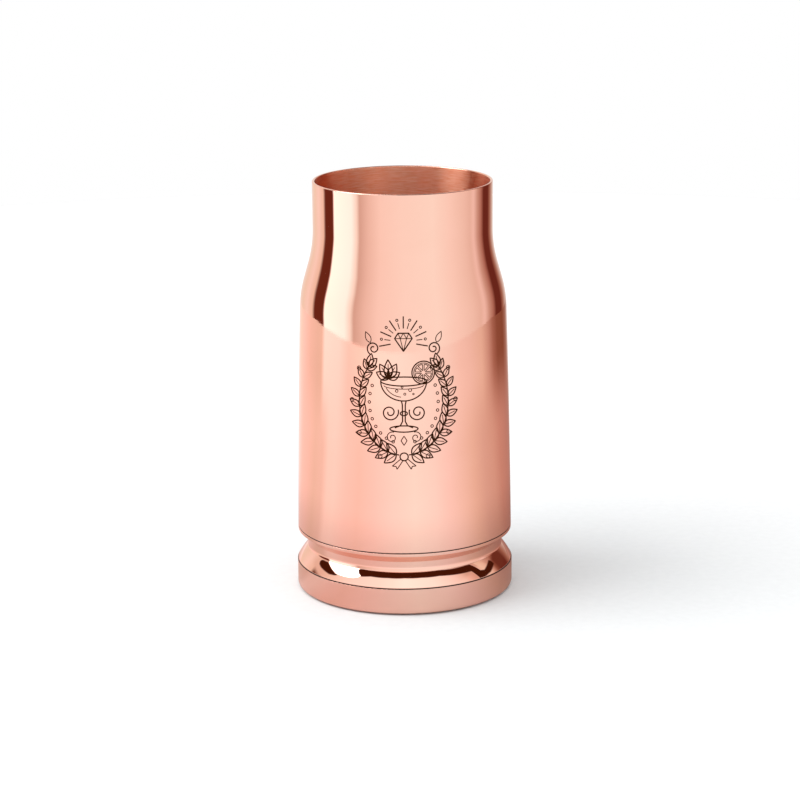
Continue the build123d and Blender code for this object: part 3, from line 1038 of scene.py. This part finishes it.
cloth_low_edge = [
    (-124, no_edge), (-122, 25), (-118, 23.3), (-113, 23.8), (-97, 27.2), (-90, 30.5), (-87, 33),
    (-86, no_edge), (-79, no_edge), (-75.5, 52), (-68, 48), (-61, 46), (-50, 50.5), (-25, 54), (0, 55.5),
    (25, 54.3), (50, 50.7), (60, 47.5), (72, 43), (80, 40), (90, 36), (91.5, 22), (104, 20.5), (109, 19.5),
    (121, 19.5), (123, no_edge),
]
cloth_high_edge = [
    (-122, 25), (-120, 28), (-112, 33), (-87, 33), (-86, no_edge), (55, no_edge), (57, 58.5), (62, 57),
    (83, 48.7), (93, 44.8), (99, 41.5), (99.8, 29.5), (104, 26.5), (120, 26), (123, 19.5),
]
ceiling_edge = [
    (-180, 48), (-118, 48), (-115, no_edge), (55, no_edge), (58, 61), (100, 50), (180, 48),
]
white_card = (6.0, 5.8, 5.8)
black_cloth = (0.06, 0.012, 0.004)
world = bpy.data.worlds.new("studio")
scene.world = world
world.use_nodes = True
tree = world.node_tree
tree.nodes.clear()
place = add(tree, "ShaderNodeTexCoord")
axes, spread = heading_of(tree, place.outputs["Generated"])
climb = add(tree, "ShaderNodeMath", {"operation": "ARCSINE"}, {0: axes.outputs["Z"]})


def share_above(edge, softness):
    """How far a direction is above an edge, from 0 to 1 over twice the softness in degrees.

    The edge is a ramp of elevation as a share of 90 degrees, taken in radians from the direction's climb.
    """
    ramp = toned_by_heading(tree, spread, [(heading, (degrees / 90,) * 3) for heading, degrees in edge])
    lowered = add(
        tree,
        "ShaderNodeMath",
        {"operation": "MULTIPLY_ADD", 1: -math.pi / 2},
        {0: ramp.outputs["Color"], 2: climb.outputs["Value"]},
    )
    return add(
        tree,
        "ShaderNodeMapRange",
        {
            "From Min": -math.radians(softness),
            "From Max": math.radians(softness),
            "interpolation_type": "SMOOTHSTEP",
        },
        {"Value": lowered.outputs["Value"]},
    ).outputs["Result"]


def laid_over(tone, share, cover):
    """A tone with another laid over it by a share."""
    return add(tree, "ShaderNodeMix", {"data_type": "RGBA"}, {0: share, 6: tone, 7: cover}).outputs[2]


mirrored_tone = toned_by_heading(tree, spread, wall_stops).outputs["Color"]
for stops, edge in ((middle_stops, middle_edge), (upper_stops, upper_edge)):
    band = toned_by_heading(tree, spread, stops)
    mirrored_tone = laid_over(mirrored_tone, share_above(edge, wall_softness), band.outputs["Color"])
white = add(tree, "ShaderNodeRGB")
white.outputs["Color"].default_value = (*white_card, 1.0)
mirrored_tone = laid_over(mirrored_tone, share_above(white_card_edge, white_softness), white.outputs["Color"])
cloth = add(tree, "ShaderNodeRGB")
cloth.outputs["Color"].default_value = (*black_cloth, 1.0)
mirrored_tone = laid_over(mirrored_tone, share_above(ceiling_edge, ceiling_softness), cloth.outputs["Color"])
cloth_share = add(
    tree,
    "ShaderNodeMath",
    {"operation": "SUBTRACT", "use_clamp": True},
    {0: share_above(cloth_low_edge, cloth_softness), 1: share_above(cloth_high_edge, cloth_softness)},
)
mirrored_tone = laid_over(mirrored_tone, cloth_share.outputs["Value"], cloth.outputs["Color"])
mirrored = add(tree, "ShaderNodeBackground", {"Strength": 1.0}, {"Color": mirrored_tone})
seen = add(tree, "ShaderNodeBackground", {"Color": (1.0, 1.0, 1.0, 1.0), "Strength": 1.0})
ray = add(tree, "ShaderNodeLightPath")
mixed = add(
    tree,
    "ShaderNodeMixShader",
    None,
    {0: ray.outputs["Is Glossy Ray"], 1: seen.outputs["Background"], 2: mirrored.outputs["Background"]},
)
add(tree, "ShaderNodeOutputWorld", None, {"Surface": mixed.outputs["Shader"]})
world.cycles.sampling_method = "NONE"

# Camera: a long lens on a stand, a little above the cup and tipped down to it.
camera_data = bpy.data.cameras.new("camera")
camera_data.lens = 110.25
camera_data.sensor_width = 36.0
camera_tip = math.radians(14.59)
camera_turn = math.radians(0.0912)
camera_roll = math.radians(-0.40)
camera = bpy.data.objects.new("camera", camera_data)
scene.collection.objects.link(camera)
camera.location = (0.0, -0.9199, 0.3131)
camera.rotation_euler = (math.pi / 2 - camera_tip, 0.0, camera_turn)
camera.rotation_euler.rotate_axis("Z", camera_roll)
scene.camera = camera
